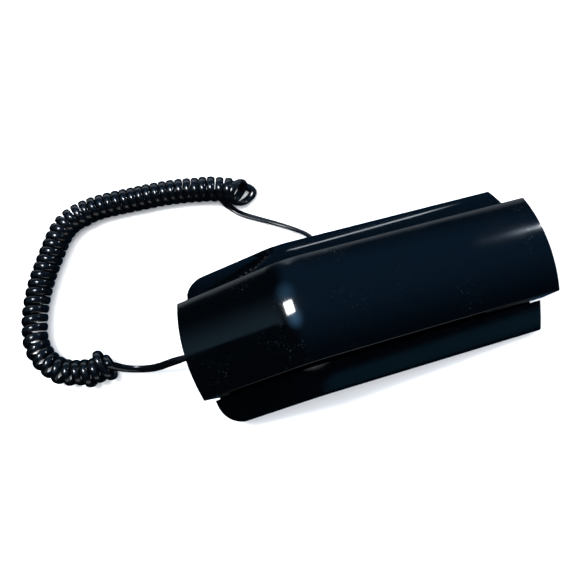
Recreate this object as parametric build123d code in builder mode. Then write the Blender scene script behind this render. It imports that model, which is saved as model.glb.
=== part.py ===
"""Slimline wall telephone: a bent handset lying face down in the cradle of its base, with a curly cord.

The phone lies on its wall face, which is the plane z = 0.  +X runs along the phone to the ear end,
+Z points away from the wall.  The bend of handset and base is called the knee; the short limb holds
the microphone, the long limb holds the keypad and the receiver.
"""
import math
import os

from build123d import *

os.makedirs("parts", exist_ok=True)

# ------------------------------------------------------------------ driving dimensions (mm, degrees)
RIM_HEIGHT = 66.0            # handset rim above the wall face at the knee
MOUTH_TILT = 21.7            # slope of the short limb
EAR_TILT = 12.2              # slope of the long limb
MOUTH_LENGTH = 70.7          # knee to mouth end, along the rim
EAR_LENGTH = 147.8           # knee to ear end, along the rim
KNEE_RADIUS = 36.0           # bend of the rim at the knee

HANDSET_HALF_WIDTH = 29.0
ARCH_RISE = 7.6              # crown of the arched back above the rim
HANDSET_DEPTH = 24.0         # inner face below the rim
HANDSET_DRAFT = 0.7          # side walls lean in by this much
HANDSET_CORNER = 4.0         # rounding between side wall and inner face
RIM_EDGE = 0.8               # rounding of the rim
HANDSET_WALL = 2.2
PARTING_DEPTH = 9.0          # joint between back and front shell, below the rim

BASE_HALF_WIDTH = 45.6
BASE_LEFT = -60.4            # end faces, measured along X from the knee
BASE_RIGHT = 134.9
BASE_LEFT_CORNER = 12.3      # plan radius of the base's corners
BASE_RIGHT_CORNER = 2.9
SHOULDER_X = -2.2            # knee of the base's widest line, from the handset's knee
SHOULDER_DROP = 30.0         # and its distance below the rim
SHOULDER_RADIUS = 25.0
WING_EDGE_HEIGHT = 1.84      # outer edge of the wing above the widest line
WING_EDGE_ROUND = 6.0
WING_TOP_HEIGHT = 19.6       # inner edge of the wing above the widest line
WING_BULGE = 0.5
SKIRT_DROP = 2.5             # wing's lower edge below the widest line
WELL_HALF_WIDTH = 30.3       # cradle channel
WELL_FLOOR = 1.2             # channel floor above the widest line
WELL_CORNER = 3.0
WELL_WALL = 2.2
BASE_WALL = 2.4

TUB_LEFT = -57.4             # lower housing's end faces at its bottom, from the knee
TUB_RIGHT = 132.1
TUB_HALF_WIDTH = 41.9
TUB_LEFT_CORNER = 9.0
TUB_RIGHT_CORNER = 1.5
TUB_TAPER = 1.75             # walls lean outwards going up
TUB_BOTTOM = 0.8             # floor's underside; the rubber pads reach z = 0
TUB_WALL = 2.2
TUB_FLOOR = 2.4
TUB_TOP_DROP = 1.5           # top edge below the widest line
GAP = 0.1                    # clearance between pieces that sit against each other

STUD_SPACING = 85.0          # wall plate studs
KEYHOLE_RADIUS = 5.0
KEYHOLE_SLOT_WIDTH = 5.2
KEYHOLE_SLOT_TRAVEL = 9.0

KEY_ROWS = (76.0, 61.0, 46.0, 31.0)          # distance from the knee, first row first
KEY_COLUMNS = (-15.5, 0.0, 15.5)
KEY_NAMES = ("1", "2", "3", "4", "5", "6", "7", "8", "9", "star", "0", "hash")
KEY_LENGTH = 10.0
KEY_WIDTH = 11.0
FUNCTION_KEY_ROW = 92.0
FUNCTION_KEY_COLUMNS = (-11.0, 11.0)
FUNCTION_KEY_LENGTH = 6.5
FUNCTION_KEY_WIDTH = 16.0
KEY_PROUD = 0.9              # key tops above the inner face
FUNCTION_KEY_PROUD = -0.2    # the two function keys stop just below it
KEY_FLANGE = 0.9             # flange that keeps a key in its hole
KEY_FLANGE_THICKNESS = 1.0
KEY_CLEARANCE = 0.3

RECEIVER_ROW = 121.0
RECEIVER_RADIUS = 17.0
MICROPHONE_ROW = 42.0
MICROPHONE_RADIUS = 4.8
BOARD_THICKNESS = 1.6

JACK_DEPTH = 13.5
JACK_WIDTH = 11.4
JACK_HEIGHT = 9.4
PLUG_WIDTH = 7.6             # four-position modular plug
PLUG_HEIGHT = 6.6
PLUG_OUTSIDE = 2.0           # plug standing out of its socket
PLUG_SLACK = 0.15
HANDSET_JACK_DEPTH = 13.5    # below the rim
BASE_JACK_X = -16.5
BASE_JACK_Z = 9.0

PLUNGER_U = 16.5             # hook plunger, distance from the knee
PLUNGER_X_WIDTH = 4.4
PLUNGER_Y_WIDTH = 11.0
PLUNGER_TRAVEL = 4.0

CORD_WIDTH = 4.9
COIL_DIAMETER = 16.5

# ------------------------------------------------------------------ frames of the two limbs
MOUTH_COS = math.cos(math.radians(MOUTH_TILT))
MOUTH_SIN = math.sin(math.radians(MOUTH_TILT))
EAR_COS = math.cos(math.radians(EAR_TILT))
EAR_SIN = math.sin(math.radians(EAR_TILT))

# the knee is placed so that the phone's box is centred on x = 0
MOUTH_REACH = MOUTH_LENGTH * MOUTH_COS + ARCH_RISE * MOUTH_SIN
EAR_REACH = EAR_LENGTH * EAR_COS + ARCH_RISE * EAR_SIN
KNEE_X = (MOUTH_REACH - EAR_REACH) / 2

# local x runs along the limb towards the ear, local z away from the wall, y = 0 is the middle
EAR_LIMB = Plane(origin=(KNEE_X, 0, RIM_HEIGHT), x_dir=(EAR_COS, 0, -EAR_SIN), z_dir=(EAR_SIN, 0, EAR_COS))
MOUTH_LIMB = Plane(
    origin=(KNEE_X, 0, RIM_HEIGHT), x_dir=(MOUTH_COS, 0, MOUTH_SIN), z_dir=(-MOUTH_SIN, 0, MOUTH_COS)
)


EAR_NORMAL = Axis(EAR_LIMB.origin, EAR_LIMB.z_dir)


def along_mouth(distance, height):
    """Point of the middle plane on the short limb: distance from the knee, height above the rim."""
    return MOUTH_LIMB.from_local_coords(Vector(-distance, 0, height))


def across_mouth(origin):
    """Plane square to the short limb: local x is Y, local y is the height above the origin."""
    return Plane(origin=origin, x_dir=(0, 1, 0), z_dir=(MOUTH_COS, 0, MOUTH_SIN))


def bent_bar(section, knee, radius, mouth_reach, ear_reach):
    """Bar of one cross-section along the short limb, round the knee and along the long limb.

    The section's x is Y and its y the height above the bar's line, which bends at knee by radius.
    """
    tangent = radius * math.tan(math.radians(MOUTH_TILT + EAR_TILT) / 2)
    mouth_start = across_mouth(knee - Vector(MOUTH_COS, 0, MOUTH_SIN) * tangent)
    ear_start = Plane(
        origin=knee + Vector(EAR_COS, 0, -EAR_SIN) * tangent,
        x_dir=(0, 1, 0),
        z_dir=(EAR_COS, 0, -EAR_SIN),
    )
    bend_centre = mouth_start.origin - Vector(-MOUTH_SIN, 0, MOUTH_COS) * radius
    with BuildPart() as bar:
        with BuildSketch(mouth_start):
            add(section)
        extrude(amount=tangent - mouth_reach)
        with BuildSketch(mouth_start):
            add(section)
        revolve(axis=Axis(bend_centre, (0, 1, 0)), revolution_arc=MOUTH_TILT + EAR_TILT)
        with BuildSketch(ear_start):
            add(section)
        extrude(amount=ear_reach - tangent)
    return bar.part


RIM_KNEE = Vector(KNEE_X, 0, RIM_HEIGHT)


def handset_bar(section, inset):
    """A bar along the handset's rim, shortened by inset at both ends."""
    return bent_bar(section, RIM_KNEE, KNEE_RADIUS, MOUTH_LENGTH - inset, EAR_LENGTH - inset)


SHOULDER_KNEE = Vector(KNEE_X + SHOULDER_X, 0, RIM_HEIGHT - SHOULDER_DROP)
SHOULDER_REACH = 175.0       # the base's lines run past its end faces and are cut off there


def shoulder_point(distance, height):
    """Point above the base's widest line; negative distances lie on the short limb."""
    if distance < 0:
        along = Vector(MOUTH_COS, 0, MOUTH_SIN) * distance
        return SHOULDER_KNEE + along + Vector(-MOUTH_SIN, 0, MOUTH_COS) * height
    along = Vector(EAR_COS, 0, -EAR_SIN) * distance
    return SHOULDER_KNEE + along + Vector(EAR_SIN, 0, EAR_COS) * height


def base_bar(section):
    """A bar along the base's widest line, longer than the base."""
    return bent_bar(section, SHOULDER_KNEE, SHOULDER_RADIUS, SHOULDER_REACH, SHOULDER_REACH)


def floor_height(x):
    """Height of the cradle floor's top over the wall face on the long limb, at a given x."""
    shoulder = SHOULDER_KNEE.Z - (x - SHOULDER_KNEE.X) * EAR_SIN / EAR_COS
    return shoulder + WELL_FLOOR / EAR_COS


def save(piece, name):
    """Label a finished piece and write its STEP file."""
    piece.part.label = name
    export_step(piece.part, f"parts/{name}.step")


def half_width_at(depth):
    """Half width of the handset's side walls at a depth below the rim."""
    return HANDSET_HALF_WIDTH - HANDSET_DRAFT * depth / HANDSET_DEPTH


# ------------------------------------------------------------------ handset shells
PART_WIDTH = half_width_at(PARTING_DEPTH)
INNER_WIDTH = HANDSET_HALF_WIDTH - HANDSET_WALL
INNER_PART_WIDTH = PART_WIDTH - HANDSET_WALL
INNER_ARCH = ARCH_RISE - HANDSET_WALL
ARCH_SHOULDER = -1.0         # where the inside of the arch meets the side wall

BOSS_RADIUS = 3.0
SCREW_RADIUS = 1.3
SCREW_HEAD_RADIUS = 2.6
SCREW_HEAD_HEIGHT = 1.4
EAR_SCREW_ROW = 140.0
MOUTH_SCREW_ROW = 26.0
HANDSET_SCREW_SIDE = 19.0
INNER_FACE = -(HANDSET_DEPTH - HANDSET_WALL)     # inside of the front shell, from the rim
BOSS_END = INNER_FACE + GAP

handset_screw_frames = (
    (EAR_LIMB, EAR_SCREW_ROW),
    (MOUTH_LIMB, -MOUTH_SCREW_ROW),
)

with BuildPart() as back_bosses:
    for limb, row in handset_screw_frames:
        with BuildSketch(limb.offset(BOSS_END)):
            with Locations((row, HANDSET_SCREW_SIDE), (row, -HANDSET_SCREW_SIDE)):
                Circle(BOSS_RADIUS)
        extrude(amount=-BOSS_END + 2.5)

with BuildSketch() as back_section:
    with BuildLine():
        ThreePointArc((-HANDSET_HALF_WIDTH, 0), (0, ARCH_RISE), (HANDSET_HALF_WIDTH, 0))
        Polyline(
            (HANDSET_HALF_WIDTH, 0),
            (PART_WIDTH, -PARTING_DEPTH),
            (-PART_WIDTH, -PARTING_DEPTH),
            (-HANDSET_HALF_WIDTH, 0),
        )
    make_face()
    fillet(back_section.vertices().group_by(Axis.Y)[-1], RIM_EDGE)

with BuildSketch() as back_hollow_section:
    with BuildLine():
        ThreePointArc((-INNER_WIDTH, ARCH_SHOULDER), (0, INNER_ARCH), (INNER_WIDTH, ARCH_SHOULDER))
        Polyline(
            (INNER_WIDTH, ARCH_SHOULDER),
            (INNER_PART_WIDTH, -PARTING_DEPTH - 1),
            (-INNER_PART_WIDTH, -PARTING_DEPTH - 1),
            (-INNER_WIDTH, ARCH_SHOULDER),
        )
    make_face()

with BuildPart() as handset_back_shell:
    add(handset_bar(back_section.sketch, 0))
    add(handset_bar(back_hollow_section.sketch, HANDSET_WALL), mode=Mode.SUBTRACT)
    add(back_bosses.part)
    for limb, row in handset_screw_frames:
        with BuildSketch(limb.offset(BOSS_END)):
            with Locations((row, HANDSET_SCREW_SIDE), (row, -HANDSET_SCREW_SIDE)):
                Circle(SCREW_RADIUS + 0.05)
        extrude(amount=10, mode=Mode.SUBTRACT)
save(handset_back_shell, "handset_back_shell")

KEY_HOLE_LENGTH = KEY_LENGTH + 2 * KEY_CLEARANCE
KEY_HOLE_WIDTH = KEY_WIDTH + 2 * KEY_CLEARANCE
FUNCTION_HOLE_LENGTH = FUNCTION_KEY_LENGTH + 2 * KEY_CLEARANCE
FUNCTION_HOLE_WIDTH = FUNCTION_KEY_WIDTH + 2 * KEY_CLEARANCE
EAR_DISH_RADIUS = 21.0
EAR_DISH_DEPTH = 1.0
EAR_HOLE_RADIUS = 1.2
EAR_HOLE_RING = 5.0
MOUTH_HOLE_RADIUS = 0.9
MOUTH_HOLE_RING = 3.2
BOARD_POST_RADIUS = 2.0
BOARD_POST_SIDE = 23.4
BOARD_POST_ROWS = (24.0, 98.0)
BOARD_HEIGHT = -17.0         # lower face of the keypad board, from the rim
FRONT_TOP = PARTING_DEPTH + GAP
FRONT_TOP_WIDTH = half_width_at(FRONT_TOP)
FACE_WIDTH = half_width_at(HANDSET_DEPTH)
JACK_CENTRE = along_mouth(MOUTH_LENGTH, -HANDSET_JACK_DEPTH)

with BuildSketch() as front_section:
    with BuildLine():
        Polyline(
            (FRONT_TOP_WIDTH, -FRONT_TOP),
            (FACE_WIDTH, -HANDSET_DEPTH),
            (-FACE_WIDTH, -HANDSET_DEPTH),
            (-FRONT_TOP_WIDTH, -FRONT_TOP),
            close=True,
        )
    make_face()
    fillet(front_section.vertices().group_by(Axis.Y)[0], HANDSET_CORNER)

with BuildSketch() as front_hollow_section:
    with BuildLine():
        Polyline(
            (FRONT_TOP_WIDTH - HANDSET_WALL, -FRONT_TOP + 1),
            (FACE_WIDTH - HANDSET_WALL, INNER_FACE),
            (HANDSET_WALL - FACE_WIDTH, INNER_FACE),
            (HANDSET_WALL - FRONT_TOP_WIDTH, -FRONT_TOP + 1),
            close=True,
        )
    make_face()
    fillet(front_hollow_section.vertices().group_by(Axis.Y)[0], HANDSET_CORNER - HANDSET_WALL)

with BuildPart() as handset_front_shell:
    add(handset_bar(front_section.sketch, 0))
    add(handset_bar(front_hollow_section.sketch, HANDSET_WALL), mode=Mode.SUBTRACT)
    # posts that carry the keypad board
    with BuildSketch(EAR_LIMB.offset(INNER_FACE - 0.5)):
        for row in BOARD_POST_ROWS:
            with Locations((row, BOARD_POST_SIDE), (row, -BOARD_POST_SIDE)):
                Circle(BOARD_POST_RADIUS)
    extrude(amount=BOARD_HEIGHT - INNER_FACE + 0.5)
    # key openings
    with BuildSketch(EAR_LIMB.offset(-HANDSET_DEPTH - 1)):
        for row in KEY_ROWS:
            for column in KEY_COLUMNS:
                with Locations((row, column)):
                    RectangleRounded(KEY_HOLE_LENGTH, KEY_HOLE_WIDTH, 1.8)
        with Locations(*((FUNCTION_KEY_ROW, column) for column in FUNCTION_KEY_COLUMNS)):
            RectangleRounded(FUNCTION_HOLE_LENGTH, FUNCTION_HOLE_WIDTH, 1.8)
    extrude(amount=HANDSET_WALL + 2, mode=Mode.SUBTRACT)
    # dished ear rest with its holes
    with BuildSketch(EAR_LIMB.offset(-HANDSET_DEPTH)):
        with Locations((RECEIVER_ROW, 0)):
            Circle(EAR_DISH_RADIUS)
    extrude(amount=EAR_DISH_DEPTH, mode=Mode.SUBTRACT)
    with BuildSketch(EAR_LIMB.offset(-HANDSET_DEPTH)):
        with Locations((RECEIVER_ROW, 0)):
            Circle(EAR_HOLE_RADIUS)
            with PolarLocations(EAR_HOLE_RING, 6):
                Circle(EAR_HOLE_RADIUS)
    extrude(amount=HANDSET_WALL + 1, mode=Mode.SUBTRACT)
    # mouth holes
    with BuildSketch(MOUTH_LIMB.offset(-HANDSET_DEPTH - 1)):
        with Locations((-MICROPHONE_ROW, 0)):
            Circle(MOUTH_HOLE_RADIUS)
            with PolarLocations(MOUTH_HOLE_RING, 4):
                Circle(MOUTH_HOLE_RADIUS)
    extrude(amount=HANDSET_WALL + 2, mode=Mode.SUBTRACT)
    # countersunk seats of the four screws
    for limb, row in handset_screw_frames:
        with BuildSketch(limb.offset(-HANDSET_DEPTH - 1)):
            with Locations((row, HANDSET_SCREW_SIDE), (row, -HANDSET_SCREW_SIDE)):
                Circle(SCREW_RADIUS + 0.2)
        extrude(amount=HANDSET_WALL + 2, mode=Mode.SUBTRACT)
        with BuildSketch(limb.offset(-HANDSET_DEPTH)):
            with Locations((row, HANDSET_SCREW_SIDE), (row, -HANDSET_SCREW_SIDE)):
                Circle(SCREW_HEAD_RADIUS + 0.1)
        extrude(amount=SCREW_HEAD_HEIGHT, mode=Mode.SUBTRACT)
    # socket opening in the mouth end
    with BuildSketch(across_mouth(JACK_CENTRE)):
        Rectangle(PLUG_WIDTH + 2 * PLUG_SLACK, PLUG_HEIGHT + 2 * PLUG_SLACK)
    extrude(amount=HANDSET_WALL + 1, mode=Mode.SUBTRACT)
save(handset_front_shell, "handset_front_shell")

with BuildPart() as handset_screws:
    for limb, row in handset_screw_frames:
        with BuildSketch(limb.offset(-HANDSET_DEPTH + 0.1)):
            with Locations((row, HANDSET_SCREW_SIDE), (row, -HANDSET_SCREW_SIDE)):
                Circle(SCREW_HEAD_RADIUS)
        extrude(amount=SCREW_HEAD_HEIGHT - 0.15)
        with BuildSketch(limb.offset(-HANDSET_DEPTH + SCREW_HEAD_HEIGHT - 0.2)):
            with Locations((row, HANDSET_SCREW_SIDE), (row, -HANDSET_SCREW_SIDE)):
                Circle(SCREW_RADIUS)
        extrude(amount=9)
        # cross recess in each head
        with BuildSketch(limb.offset(-HANDSET_DEPTH + 0.1)):
            with Locations((row, HANDSET_SCREW_SIDE), (row, -HANDSET_SCREW_SIDE)):
                Rectangle(2.6, 0.6)
                Rectangle(0.6, 2.6)
        extrude(amount=0.7, mode=Mode.SUBTRACT)
save(handset_screws, "handset_screws")

# ------------------------------------------------------------------ keypad
KEY_FLANGE_BOTTOM = -HANDSET_DEPTH + HANDSET_WALL + 0.05


def make_key(name, row, column, length, width, proud):
    """One key: a crowned cap that passes through its opening, with a flange inside the shell."""
    key_top = -HANDSET_DEPTH - proud
    with BuildPart() as key:
        with BuildSketch(EAR_LIMB.offset(key_top)):
            with Locations((row, column)):
                RectangleRounded(length, width, 1.6)
        extrude(amount=KEY_FLANGE_BOTTOM - key_top)
        cap_edges = key.faces().sort_by(EAR_NORMAL)[0].edges()
        fillet(cap_edges, 0.7)
        with BuildSketch(EAR_LIMB.offset(KEY_FLANGE_BOTTOM)):
            with Locations((row, column)):
                RectangleRounded(length + 2 * KEY_FLANGE, width + 2 * KEY_FLANGE, 1.6)
        extrude(amount=KEY_FLANGE_THICKNESS)
    save(key, name)


for index, key_name in enumerate(KEY_NAMES):
    key_row = KEY_ROWS[index // 3]
    key_column = KEY_COLUMNS[index % 3]
    make_key(f"key_{key_name}", key_row, key_column, KEY_LENGTH, KEY_WIDTH, KEY_PROUD)
for function_key, function_column in zip(("flash_key", "redial_key"), FUNCTION_KEY_COLUMNS):
    make_key(
        function_key,
        FUNCTION_KEY_ROW,
        function_column,
        FUNCTION_KEY_LENGTH,
        FUNCTION_KEY_WIDTH,
        FUNCTION_KEY_PROUD,
    )

MAT_MIDDLE = 61.0            # middle of the keypad, from the knee
MAT_THICKNESS = 1.0
DOME_HEIGHT = 1.0
MAT_BOTTOM = BOARD_HEIGHT - MAT_THICKNESS

with BuildPart() as key_mat:
    with BuildSketch(EAR_LIMB.offset(MAT_BOTTOM)):
        with Locations((MAT_MIDDLE, 0)):
            RectangleRounded(72, 42, 2)
    extrude(amount=MAT_THICKNESS)
    # a dome behind every key, drawn as far down as it lies when its key is pressed
    with BuildSketch(EAR_LIMB.offset(MAT_BOTTOM - DOME_HEIGHT)):
        for row in KEY_ROWS:
            for column in KEY_COLUMNS:
                with Locations((row, column)):
                    Circle(2.6)
        with Locations(*((FUNCTION_KEY_ROW, column) for column in FUNCTION_KEY_COLUMNS)):
            Circle(2.6)
    extrude(amount=DOME_HEIGHT)
save(key_mat, "key_mat")

with BuildPart() as keypad_board:
    with BuildSketch(EAR_LIMB.offset(BOARD_HEIGHT)):
        with Locations((MAT_MIDDLE, 0)):
            Rectangle(78, 50.2)
    extrude(amount=BOARD_THICKNESS)
    # speech chip and parts on the back of the board
    with BuildSketch(EAR_LIMB.offset(BOARD_HEIGHT + BOARD_THICKNESS)):
        with Locations((MAT_MIDDLE, 0)):
            Rectangle(25, 7.5)
        with Locations((MAT_MIDDLE + 26, 10), (MAT_MIDDLE + 26, -10), (MAT_MIDDLE - 26, 0)):
            Circle(2.5)
    extrude(amount=3.5)
save(keypad_board, "keypad_board")

# ------------------------------------------------------------------ receiver, microphone, weight
GASKET_HEIGHT = 1.2
RECEIVER_BOTTOM = INNER_FACE + GASKET_HEIGHT

with BuildPart() as receiver_gasket:
    with BuildSketch(EAR_LIMB.offset(INNER_FACE)):
        with Locations((RECEIVER_ROW, 0)):
            Circle(RECEIVER_RADIUS)
            Circle(11, mode=Mode.SUBTRACT)
    extrude(amount=GASKET_HEIGHT)
save(receiver_gasket, "receiver_gasket")

with BuildPart() as receiver_capsule:
    with BuildSketch(EAR_LIMB.offset(RECEIVER_BOTTOM)):
        with Locations((RECEIVER_ROW, 0)):
            Circle(RECEIVER_RADIUS)
    extrude(amount=4)
    with BuildSketch(EAR_LIMB.offset(RECEIVER_BOTTOM + 4)):
        with Locations((RECEIVER_ROW, 0)):
            Circle(RECEIVER_RADIUS - 3)
    extrude(amount=5)
    # sound port
    with BuildSketch(EAR_LIMB.offset(RECEIVER_BOTTOM)):
        with Locations((RECEIVER_ROW, 0)):
            Circle(7)
    extrude(amount=0.8, mode=Mode.SUBTRACT)
save(receiver_capsule, "receiver_capsule")

MIC_BOOT_RADIUS = 7.0
MIC_BOOT_HEIGHT = 8.0
MIC_HEIGHT = 5.6

with BuildPart() as microphone_boot:
    with BuildSketch(MOUTH_LIMB.offset(INNER_FACE)):
        with Locations((-MICROPHONE_ROW, 0)):
            Circle(MIC_BOOT_RADIUS)
    extrude(amount=MIC_BOOT_HEIGHT)
    with BuildSketch(MOUTH_LIMB.offset(INNER_FACE)):
        with Locations((-MICROPHONE_ROW, 0)):
            Circle(MICROPHONE_RADIUS + 0.05)
    extrude(amount=MIC_HEIGHT + 1.05, mode=Mode.SUBTRACT)
save(microphone_boot, "microphone_boot")

with BuildPart() as microphone_capsule:
    with BuildSketch(MOUTH_LIMB.offset(INNER_FACE + 1)):
        with Locations((-MICROPHONE_ROW, 0)):
            Circle(MICROPHONE_RADIUS)
    extrude(amount=MIC_HEIGHT)
save(microphone_capsule, "microphone_capsule")

with BuildPart() as handset_weight:
    with BuildSketch(EAR_LIMB.offset(-1.2)):
        with Locations((66, 0)):
            RectangleRounded(64, 22, 2)
    extrude(amount=5)
save(handset_weight, "handset_weight")

# ------------------------------------------------------------------ base: upper housing with the cradle
BASE_MIDDLE = KNEE_X + (BASE_LEFT + BASE_RIGHT) / 2
BASE_LENGTH = BASE_RIGHT - BASE_LEFT
TALL = 90.0                  # taller than anything in the base
TRIM = 0.02                  # the plan outline trims this much off the sides of the bent bars
LOAF_HALF_WIDTH = BASE_HALF_WIDTH + TRIM
WING_MID_WIDTH = (BASE_HALF_WIDTH + WELL_HALF_WIDTH) / 2
WING_MID_HEIGHT = (WING_TOP_HEIGHT + WING_EDGE_HEIGHT) / 2
BULGE_SIDE = WING_BULGE * 0.75
BULGE_UP = WING_BULGE * 0.65


def rounded_plan(half_width, length, left_corner, right_corner):
    """Plan outline of the base, with its own corner radius at each end."""
    outline = Rectangle(length, 2 * half_width)
    ends = outline.vertices().group_by(Axis.X)
    fillet(ends[0], left_corner)
    fillet(ends[-1], right_corner)


# cross-section of the wings with the cradle filled in
with BuildSketch() as loaf_section:
    with BuildLine():
        Polyline(
            (-LOAF_HALF_WIDTH, WING_EDGE_HEIGHT),
            (-LOAF_HALF_WIDTH, -SKIRT_DROP),
            (LOAF_HALF_WIDTH, -SKIRT_DROP),
            (LOAF_HALF_WIDTH, WING_EDGE_HEIGHT),
        )
        ThreePointArc(
            (LOAF_HALF_WIDTH, WING_EDGE_HEIGHT),
            (WING_MID_WIDTH + BULGE_SIDE, WING_MID_HEIGHT + BULGE_UP),
            (WELL_HALF_WIDTH, WING_TOP_HEIGHT),
        )
        Line((WELL_HALF_WIDTH, WING_TOP_HEIGHT), (-WELL_HALF_WIDTH, WING_TOP_HEIGHT))
        ThreePointArc(
            (-WELL_HALF_WIDTH, WING_TOP_HEIGHT),
            (-WING_MID_WIDTH - BULGE_SIDE, WING_MID_HEIGHT + BULGE_UP),
            (-LOAF_HALF_WIDTH, WING_EDGE_HEIGHT),
        )
    make_face()
    wing_edges = loaf_section.vertices().filter_by(lambda corner: abs(corner.Y - WING_EDGE_HEIGHT) < 0.01)
    fillet(wing_edges, WING_EDGE_ROUND)

with BuildPart() as loaf:
    add(base_bar(loaf_section.sketch))
    with BuildSketch(Plane((BASE_MIDDLE, 0, 0))):
        rounded_plan(BASE_HALF_WIDTH, BASE_LENGTH, BASE_LEFT_CORNER, BASE_RIGHT_CORNER)
    extrude(amount=TALL, mode=Mode.INTERSECT)

# the hollow under the wings and under the cradle floor
WELL_OUTSIDE = WELL_HALF_WIDTH + WELL_WALL
SKIRT_INSIDE = BASE_HALF_WIDTH - BASE_WALL
FLOOR_UNDERSIDE = WELL_FLOOR - BASE_WALL
WING_INSIDE_TOP = 12.6
WING_INSIDE_EDGE = 0.2
HOLLOW_HALF_WIDTH = SKIRT_INSIDE + TRIM

with BuildSketch() as hollow_section:
    with BuildLine():
        Polyline(
            (-HOLLOW_HALF_WIDTH, -SKIRT_DROP - 1),
            (HOLLOW_HALF_WIDTH, -SKIRT_DROP - 1),
            (HOLLOW_HALF_WIDTH, WING_INSIDE_EDGE),
            (WELL_OUTSIDE, WING_INSIDE_TOP),
            (WELL_OUTSIDE, FLOOR_UNDERSIDE),
            (-WELL_OUTSIDE, FLOOR_UNDERSIDE),
            (-WELL_OUTSIDE, WING_INSIDE_TOP),
            (-HOLLOW_HALF_WIDTH, WING_INSIDE_EDGE),
            close=True,
        )
    make_face()

with BuildPart() as base_hollow:
    add(base_bar(hollow_section.sketch))
    with BuildSketch(Plane((BASE_MIDDLE, 0, 0))):
        rounded_plan(SKIRT_INSIDE, BASE_LENGTH - 2 * BASE_WALL, BASE_LEFT_CORNER - BASE_WALL, 0.6)
    extrude(amount=TALL, mode=Mode.INTERSECT)

with BuildSketch() as channel_section:
    with BuildLine():
        Polyline(
            (-WELL_HALF_WIDTH, WELL_FLOOR),
            (WELL_HALF_WIDTH, WELL_FLOOR),
            (WELL_HALF_WIDTH, WING_TOP_HEIGHT + 3),
            (-WELL_HALF_WIDTH, WING_TOP_HEIGHT + 3),
            close=True,
        )
    make_face()
    fillet(channel_section.vertices().group_by(Axis.Y)[0], WELL_CORNER)

BASE_BOSS_SIDE = 35.8
BASE_BOSS_RADIUS = 3.3
BASE_BOSS_X = (-84.0, 80.0)
BASE_SCREW_POSITIONS = [(x, side * BASE_BOSS_SIDE) for x in BASE_BOSS_X for side in (-1, 1)]
BOSS_BOTTOM = TUB_BOTTOM + TUB_FLOOR + GAP
BOSS_MERGE = 9.3             # posts end this far above the widest line, inside the wing
REST_RIDGE_THICKNESS = 3.0
REST_RIDGE_WIDTH = 36.0
EAR_REST_ROW = 112.0         # ridges that carry the handset, from the knee
MOUTH_REST_ROW = 30.0
REST_GAP = 0.05
LINE_NOTCH_WIDTH = 14.0
LINE_NOTCH_TOP = 12.1
BASE_END = KNEE_X + BASE_LEFT


def shoulder_height(x):
    """Height of the base's widest line over the wall face."""
    distance = x - SHOULDER_KNEE.X
    slope = -EAR_SIN / EAR_COS if distance > 0 else MOUTH_SIN / MOUTH_COS
    return SHOULDER_KNEE.Z + distance * slope


PLUNGER_X = KNEE_X + PLUNGER_U * EAR_COS

with BuildPart() as base_posts:
    for x in BASE_BOSS_X:
        with BuildSketch(Plane.XY.offset(BOSS_BOTTOM)):
            with Locations((x, BASE_BOSS_SIDE), (x, -BASE_BOSS_SIDE)):
                Circle(BASE_BOSS_RADIUS)
        extrude(amount=shoulder_height(x) + BOSS_MERGE - BOSS_BOTTOM)

with BuildPart() as hollow_round_posts:
    add(base_hollow.part)
    add(base_posts.part, mode=Mode.SUBTRACT)

# the cradle channel, with two ridges left standing that carry the handset
with BuildPart() as cradle_channel:
    add(base_bar(channel_section.sketch))
    with BuildSketch(EAR_LIMB.offset(-HANDSET_DEPTH - REST_GAP)):
        with Locations((EAR_REST_ROW, 0)):
            Rectangle(REST_RIDGE_THICKNESS, REST_RIDGE_WIDTH)
    extrude(amount=-8.0, mode=Mode.SUBTRACT)
    with BuildSketch(MOUTH_LIMB.offset(-HANDSET_DEPTH - REST_GAP)):
        with Locations((-MOUTH_REST_ROW, 0)):
            Rectangle(REST_RIDGE_THICKNESS, REST_RIDGE_WIDTH)
    extrude(amount=-8.0, mode=Mode.SUBTRACT)

with BuildPart() as base_upper_housing:
    add(loaf.part)
    add(base_posts.part)
    add(cradle_channel.part, mode=Mode.SUBTRACT)
    add(hollow_round_posts.part, mode=Mode.SUBTRACT)
    # screw holes in the posts
    with BuildSketch(Plane.XY.offset(BOSS_BOTTOM)):
        with Locations(*BASE_SCREW_POSITIONS):
            Circle(SCREW_RADIUS + 0.05)
    extrude(amount=8.5, mode=Mode.SUBTRACT)
    # notch in the skirt in front of the line socket
    with BuildSketch(Plane((BASE_END - 1, 0, 0), x_dir=(0, 1, 0), z_dir=(1, 0, 0))):
        Rectangle(LINE_NOTCH_WIDTH, 2 * LINE_NOTCH_TOP)
    extrude(amount=BASE_WALL + 1.5, mode=Mode.SUBTRACT)
    # opening for the hook plunger
    with BuildSketch(Plane.XY.offset(floor_height(PLUNGER_X) - 10)):
        with Locations((PLUNGER_X, 0)):
            Rectangle(PLUNGER_X_WIDTH + 0.6, PLUNGER_Y_WIDTH + 0.6)
    extrude(amount=20, mode=Mode.SUBTRACT)
save(base_upper_housing, "base_upper_housing")

# ------------------------------------------------------------------ base: lower housing
TUB_MIDDLE = KNEE_X + (TUB_LEFT + TUB_RIGHT) / 2
TUB_LENGTH = TUB_RIGHT - TUB_LEFT
TUB_GROWTH = math.tan(math.radians(TUB_TAPER))   # outward lean for each millimetre of height
TUB_FLOOR_TOP = TUB_BOTTOM + TUB_FLOOR
FOOT_X = (-84.0, 80.0)
FOOT_SIDE = 26.0
FOOT_RADIUS = 6.0
FOOT_RECESS = 0.8
FOOT_POSITIONS = [(x, side * FOOT_SIDE) for x in FOOT_X for side in (-1, 1)]

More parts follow.
